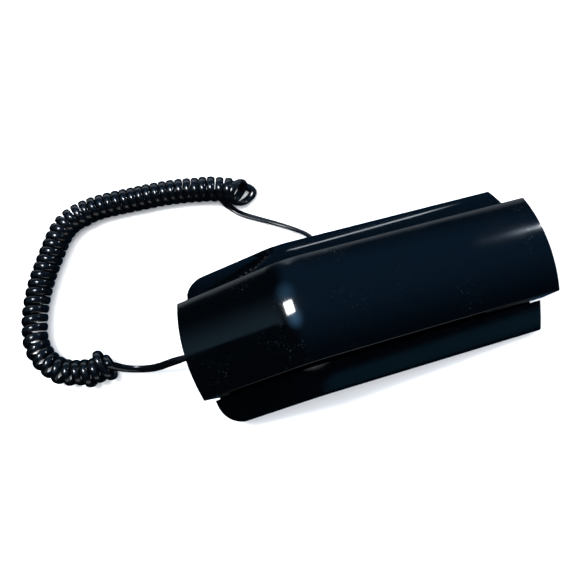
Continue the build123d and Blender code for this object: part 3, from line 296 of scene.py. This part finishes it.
def make_cord():
    """One flat cord: tail at the base, the turns, tail at the handset."""
    turns = coil_turns()
    lead = BASE_TAIL_ROUTE + UNDER_ROUTE
    controls = [Vector(point) for point in lead]
    controls += [point for point, along in turns]
    controls += [Vector(point) for point in HANDSET_TAIL_ROUTE]
    path = nurbs_line("cord_line", controls, PATH_STEPS)
    count = len(path)
    vertices = []
    previous = None
    for index, point in enumerate(path):
        tangent = (path[min(index + 1, count - 1)] - path[max(index - 1, 0)]).normalized()
        # the broad side faces the coil's middle in the turns and lies flatter in the tails
        place = index / (count - 1) * len(controls) - len(lead)
        along = turns[min(max(int(place), 0), len(turns) - 1)][1]
        in_tail = 1 - ramp(place, *BASE_TURNING)
        in_tail += ramp(place, len(turns) - HANDSET_TURNING, len(turns) + HANDSET_TURNING)
        flat = UP.cross(tangent).normalized()
        if flat.dot(along) < 0:
            flat = -flat
        # and stands more on its edge the nearer it comes to a plug
        edge_up = sum(amount * ramp(-place, low, high) for amount, low, high in BASE_EDGE_UP)
        amount, low, high = HANDSET_EDGE_UP
        edge_up += amount * ramp(place - len(turns), low, high)
        width = along * (1 - in_tail) + (flat + UP * edge_up) * in_tail
        width = (width - tangent * width.dot(tangent)).normalized()
        if previous is not None and width.dot(previous) < 0:
            width = -width
        previous = width
        thick = tangent.cross(width).normalized()
        for corner in range(SECTION_POINTS):
            x, y = cord_section(2 * math.pi * corner / SECTION_POINTS)
            vertices.append(point + width * x + thick * y)
    faces = []
    for index in range(count - 1):
        for corner in range(SECTION_POINTS):
            following = (corner + 1) % SECTION_POINTS
            first = index * SECTION_POINTS
            second = first + SECTION_POINTS
            faces.append((first + corner, first + following, second + following, second + corner))
    faces.append(tuple(reversed(range(SECTION_POINTS))))
    last = (count - 1) * SECTION_POINTS
    faces.append(tuple(range(last, last + SECTION_POINTS)))
    made = new_object("handset_cord", vertices, faces)
    outward(made)
    print("cord length", lengths_along(path)[-1])
    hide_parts("cord_tail_base", "cord_coil", "cord_tail_handset")
    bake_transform(made)
    return made


cord = make_cord()


# ---------------------------------------------------------------- materials
def node_tree(name):
    """A new material's nodes, links and main shader."""
    material = bpy.data.materials.new(name)
    material.use_nodes = True
    nodes = material.node_tree.nodes
    return material, nodes, material.node_tree.links, nodes["Principled BSDF"]


def noise(nodes, links, scale, detail=3.0, roughness=0.5, stretch=(1, 1, 1)):
    """Noise in the object's own metres; scale is in features per metre."""
    place = nodes.new("ShaderNodeTexCoord")
    mapping = nodes.new("ShaderNodeMapping")
    mapping.inputs["Scale"].default_value = stretch
    links.new(place.outputs["Object"], mapping.inputs["Vector"])
    texture = nodes.new("ShaderNodeTexNoise")
    texture.inputs["Scale"].default_value = scale
    texture.inputs["Detail"].default_value = detail
    texture.inputs["Roughness"].default_value = roughness
    links.new(mapping.outputs["Vector"], texture.inputs["Vector"])
    return texture.outputs["Fac"]


def spread(nodes, links, value, low, high, from_low=0.0, from_high=1.0):
    """Maps a value from one range to another, clamped."""
    node = nodes.new("ShaderNodeMapRange")
    node.inputs["From Min"].default_value = from_low
    node.inputs["From Max"].default_value = from_high
    node.inputs["To Min"].default_value = low
    node.inputs["To Max"].default_value = high
    links.new(value, node.inputs["Value"])
    return node.outputs["Result"]


def two_colours(nodes, links, value, low, high):
    """Colour between two, by a value from 0 to 1."""
    node = nodes.new("ShaderNodeMix")
    node.data_type = "RGBA"
    node.inputs["A"].default_value = (*low, 1)
    node.inputs["B"].default_value = (*high, 1)
    links.new(value, node.inputs["Factor"])
    return node.outputs["Result"]


def bumped(nodes, links, shader, height, strength, distance):
    """Gives a shader a bump from a height value."""
    bump = nodes.new("ShaderNodeBump")
    bump.inputs["Strength"].default_value = strength
    bump.inputs["Distance"].default_value = distance
    links.new(height, bump.inputs["Height"])
    links.new(bump.outputs["Normal"], shader.inputs["Normal"])


DUST_COLOUR = (0.05, 0.06, 0.075)
DUST_ROUGHNESS = 0.4


def gloss_black(name, base=(0.0003, 0.0006, 0.0010), rough=(0.06, 0.15), dust=0.5):
    """Black moulded plastic with a polish, handling haze and specks of dust."""
    material, nodes, links, shader = node_tree(name)
    haze = noise(nodes, links, scale=26, detail=4, roughness=0.6)
    specks = noise(nodes, links, scale=900, detail=2)
    patch = noise(nodes, links, scale=34, detail=2)
    speck_mask = spread(nodes, links, specks, 0, 1, from_low=0.66, from_high=0.74)
    patch_mask = spread(nodes, links, patch, 0, dust, from_low=0.52, from_high=0.70)
    mask = nodes.new("ShaderNodeMath")
    mask.operation = "MULTIPLY"
    links.new(speck_mask, mask.inputs[0])
    links.new(patch_mask, mask.inputs[1])
    colour = two_colours(nodes, links, mask.outputs[0], base, DUST_COLOUR)
    links.new(colour, shader.inputs["Base Color"])
    haze_rough = spread(nodes, links, haze, rough[0], rough[1], from_low=0.35, from_high=0.75)
    total = nodes.new("ShaderNodeMath")
    total.operation = "MULTIPLY_ADD"
    total.inputs[1].default_value = DUST_ROUGHNESS
    links.new(mask.outputs[0], total.inputs[0])
    links.new(haze_rough, total.inputs[2])
    links.new(total.outputs[0], shader.inputs["Roughness"])
    shader.inputs["IOR"].default_value = 1.5
    ripple = noise(nodes, links, scale=60, detail=2)
    bumped(nodes, links, shader, ripple, strength=0.05, distance=0.0004)
    return material


def grained(name, low, high, rough, scale, strength, metal=0.0, stretch=(1, 1, 1)):
    """A moulded, cast or rolled surface: two close colours, uneven polish and a fine grain."""
    material, nodes, links, shader = node_tree(name)
    tone = noise(nodes, links, scale=60, detail=4, roughness=0.6, stretch=stretch)
    links.new(two_colours(nodes, links, tone, low, high), shader.inputs["Base Color"])
    polish = noise(nodes, links, scale=120, stretch=stretch)
    uneven = spread(nodes, links, polish, rough[0], rough[1], from_low=0.3, from_high=0.7)
    links.new(uneven, shader.inputs["Roughness"])
    shader.inputs["Metallic"].default_value = metal
    grain = noise(nodes, links, scale, roughness=0.6, stretch=stretch)
    bumped(nodes, links, shader, grain, strength, distance=0.0002)
    return material


def circuit_board(name):
    """Green board with lighter tracks."""
    material, nodes, links, shader = node_tree(name)
    place = nodes.new("ShaderNodeTexCoord")
    cells = nodes.new("ShaderNodeTexVoronoi")
    cells.feature = "DISTANCE_TO_EDGE"
    cells.inputs["Scale"].default_value = 260
    links.new(place.outputs["Object"], cells.inputs["Vector"])
    track = spread(nodes, links, cells.outputs["Distance"], 1, 0, from_low=0.02, from_high=0.10)
    board = two_colours(nodes, links, track, (0.008, 0.06, 0.022), (0.03, 0.16, 0.06))
    links.new(board, shader.inputs["Base Color"])
    shader.inputs["Roughness"].default_value = 0.35
    bumped(nodes, links, shader, track, strength=0.4, distance=0.0001)
    return material


def clear_plastic(name):
    """Clear moulded plug, with a little haze."""
    material, nodes, links, shader = node_tree(name)
    shader.inputs["Base Color"].default_value = (0.86, 0.88, 0.9, 1)
    shader.inputs["Transmission Weight"].default_value = 0.85
    haze = noise(nodes, links, scale=300)
    links.new(spread(nodes, links, haze, 0.05, 0.25), shader.inputs["Roughness"])
    shader.inputs["IOR"].default_value = 1.49
    return material


GLOSS = gloss_black("gloss_black")
GLOSS_BASE = gloss_black("gloss_black_base", rough=(0.03, 0.09), dust=0.35)
SATIN = grained("satin_black", (0.010, 0.010, 0.012), (0.018, 0.018, 0.021), (0.28, 0.42), 1400, 0.25)
MATT = grained("matt_black", (0.014, 0.014, 0.015), (0.03, 0.03, 0.032), (0.5, 0.7), 1800, 0.4)
RUBBER = grained("rubber", (0.012, 0.012, 0.012), (0.03, 0.03, 0.028), (0.65, 0.85), 2500, 0.5)
GREY_RUBBER = grained("grey_rubber", (0.10, 0.10, 0.11), (0.16, 0.16, 0.17), (0.6, 0.75), 2200, 0.4)
STEEL = grained("steel", (0.45, 0.45, 0.46), (0.62, 0.62, 0.63), (0.22, 0.4), 500, 0.2, 1.0, (1, 1, 8))
CAST = grained("cast_iron", (0.10, 0.10, 0.10), (0.2, 0.19, 0.18), (0.5, 0.75), 900, 0.8, 0.8)
BOARD = circuit_board("board")
CLEAR = clear_plastic("clear_plug")
CORD_SKIN = gloss_black("cord_skin", base=(0.0008, 0.0012, 0.0018), rough=(0.15, 0.22), dust=0.12)

NODE_MATERIALS = {
    "handset_back_shell": GLOSS,
    "handset_front_shell": GLOSS,
    "base_upper_housing": GLOSS_BASE,
    "base_lower_housing": SATIN,
    "base_feet": RUBBER,
    "key_mat": GREY_RUBBER,
    "receiver_gasket": RUBBER,
    "microphone_boot": RUBBER,
    "microphone_capsule": STEEL,
    "receiver_capsule": MATT,
    "ringer_sounder": MATT,
    "handset_weight": CAST,
    "base_weight": CAST,
    "handset_screws": STEEL,
    "base_screws": STEEL,
    "board_screws": STEEL,
    "hook_spring": STEEL,
    "keypad_board": BOARD,
    "base_board": BOARD,
    "handset_cord_plug": CLEAR,
    "base_cord_plug": CLEAR,
}

for node_name, node_object in NODES.items():
    is_number_key = node_name.startswith("key_") and node_name != "key_mat"
    is_key = is_number_key or node_name.endswith("_key")
    node_object.data.materials.clear()
    node_object.data.materials.append(SATIN if is_key else NODE_MATERIALS.get(node_name, MATT))
cord.data.materials.append(CORD_SKIN)


# ---------------------------------------------------------------- floor and light
FLOOR_HALF_WIDTH = 1.8
BACKDROP_WHITE = 0.98


def make_floor():
    """A plain pale floor under the phone; the gloss doesn't mirror it."""
    half = FLOOR_HALF_WIDTH
    corners = [(-half, -half, 0), (half, -half, 0), (half, half, 0), (-half, half, 0)]
    floor = new_object("floor", corners, [(0, 1, 2, 3)])
    material, nodes, links, shader = node_tree("floor")
    tone = noise(nodes, links, scale=3, detail=2)
    paper = two_colours(nodes, links, tone, (0.90, 0.90, 0.90), (0.92, 0.92, 0.92))
    links.new(paper, shader.inputs["Base Color"])
    shader.inputs["Roughness"].default_value = 0.9
    shader.inputs["Specular IOR Level"].default_value = 0.0
    floor.data.materials.append(material)
    floor.visible_glossy = False


def area_light(name, place, target, size, power, in_gloss=True):
    """A soft rectangular lamp that points at a target, its width along the frame's X."""
    data = bpy.data.lights.new(name, "AREA")
    data.shape = "RECTANGLE"
    data.size = size[0]
    data.size_y = size[1]
    data.energy = power
    lamp = bpy.data.objects.new(name, data)
    backwards = (Vector(place) - Vector(target)).normalized()
    upwards = backwards.cross(Vector((1, 0, 0))).normalized()
    sideways = upwards.cross(backwards)
    turned = Matrix((sideways, upwards, backwards)).transposed().to_4x4()
    lamp.matrix_world = Matrix.Translation(place) @ turned
    lamp.visible_glossy = in_gloss
    bpy.context.scene.collection.objects.link(lamp)
    return lamp


def make_world():
    """A dim blue room that the gloss mirrors, behind a pale backdrop."""
    world = bpy.data.worlds.new("room")
    world.use_nodes = True
    nodes = world.node_tree.nodes
    links = world.node_tree.links
    background = nodes["Background"]
    place = nodes.new("ShaderNodeTexCoord")
    parts = nodes.new("ShaderNodeSeparateXYZ")
    links.new(place.outputs["Generated"], parts.inputs["Vector"])
    across, beside, height = parts.outputs

    def soft(value, low, high, first=0.0, last=1.0):
        node = nodes.new("ShaderNodeMapRange")
        node.interpolation_type = "SMOOTHSTEP"
        node.inputs["From Min"].default_value = low
        node.inputs["From Max"].default_value = high
        node.inputs["To Min"].default_value = first
        node.inputs["To Max"].default_value = last
        links.new(value, node.inputs["Value"])
        return node.outputs["Result"]

    def product(*values):
        result = values[0]
        for value in values[1:]:
            node = nodes.new("ShaderNodeMath")
            node.operation = "MULTIPLY"
            links.new(result, node.inputs[0])
            links.new(value, node.inputs[1])
            result = node.outputs[0]
        return result

    def tinted(strength, colour, added_to=None):
        node = nodes.new("ShaderNodeVectorMath")
        node.operation = "MULTIPLY_ADD"
        node.inputs[1].default_value = colour
        links.new(strength, node.inputs[0])
        if added_to is not None:
            links.new(added_to, node.inputs[2])
        return node.outputs["Vector"]

    def leaning(value, other, share):
        node = nodes.new("ShaderNodeMath")
        node.operation = "MULTIPLY_ADD"
        node.inputs[1].default_value = share
        links.new(other, node.inputs[0])
        links.new(value, node.inputs[2])
        return node.outputs[0]

    def glow(direction, radius):
        node = nodes.new("ShaderNodeVectorMath")
        node.operation = "DISTANCE"
        node.inputs[1].default_value = Vector(direction).normalized()
        links.new(place.outputs["Generated"], node.inputs[0])
        return soft(node.outputs["Value"], radius, 0.0)

    # overhead glow that the long limb mirrors, fading to both sides
    overhead = product(
        soft(across, -0.45, -0.12),
        soft(beside, -0.80, 0.25, 0.08, 1.0),
        soft(height, 0.22, 0.60, 0.25, 1.0),
    )
    light = tinted(overhead, (0.045, 0.155, 0.33))
    # the grey wall that the short limb mirrors above its crest
    wall_edge = leaning(beside, across, 0.44)
    wall = product(
        soft(across, -0.52, -0.66),
        soft(wall_edge, -0.30, -0.27),
        soft(beside, 0.64, 0.05),
        soft(height, 0.1, 0.3),
    )
    light = tinted(wall, (0.16, 0.30, 0.42), light)
    # low light on the near side, seen in the near wing
    near = product(
        soft(beside, -0.75, -0.85),
        soft(height, -0.03, -0.15),
        soft(height, -0.32, -0.22),
        soft(across, -0.10, 0.22),
    )
    light = tinted(near, (0.028, 0.10, 0.17), light)
    # the far edge of the table, seen as a thin line in the far wing
    table_edge = leaning(height, across, 0.35)
    far = product(
        soft(beside, 0.60, 0.75),
        soft(table_edge, -0.374, -0.364),
        soft(table_edge, -0.346, -0.356),
        soft(across, 0.05, 0.16),
        soft(across, 0.36, 0.30),
    )
    light = tinted(far, (3.0, 3.3, 3.55), light)
    # pale strips low on both sides, seen as thin lines along the handset's edges
    far_strip = product(
        soft(beside, 0.60, 0.75),
        soft(height, -0.15, 0.0),
        soft(leaning(height, across, 0.36), 0.455, 0.395),
        soft(leaning(height, across, -0.56), 0.48, 0.43),
    )
    light = tinted(far_strip, (1.1, 1.3, 1.45), light)
    near_strip = product(soft(beside, -0.76, -0.84), soft(height, 0.05, 0.12), soft(height, 0.5, 0.35))
    light = tinted(near_strip, (1.3, 1.35, 1.4), light)
    # soft halos above and below the window's own highlight, and round the end lamp's
    light = tinted(glow((-0.33, 0.48, 0.81), 0.34), (0.25, 0.75, 1.4), light)
    light = tinted(glow((-0.30, 0.03, 0.95), 0.28), (0.6, 1.6, 2.9), light)
    light = tinted(glow((0.685, 0.392, 0.605), 0.10), (0.25, 0.7, 1.3), light)
    seen = nodes.new("ShaderNodeLightPath")
    mixed = nodes.new("ShaderNodeMix")
    mixed.data_type = "RGBA"
    links.new(seen.outputs["Is Camera Ray"], mixed.inputs["Factor"])
    links.new(light, mixed.inputs["A"])
    mixed.inputs["B"].default_value = (BACKDROP_WHITE, BACKDROP_WHITE, BACKDROP_WHITE, 1)
    links.new(mixed.outputs["Result"], background.inputs["Color"])
    bpy.context.scene.world = world


make_floor()
make_world()
bpy.context.scene.view_settings.view_transform = "Standard"
# what the two lamps seen in the gloss point at: the bend of the handset, and its ear end
KNEE = (-0.0388, 0, 0.066)
EAR_END = (0.104, 0.009, 0.042)
area_light("ceiling", (0, 0.2, 2.0), (0, 0, 0), size=(3.0, 3.0), power=95, in_gloss=False)
area_light("window", (-0.400, 0.245, 1.03), KNEE, size=(0.24, 0.26), power=12)
area_light("end_lamp", (0.8025, 0.386, 0.611), EAR_END, size=(0.06, 0.045), power=2.3)
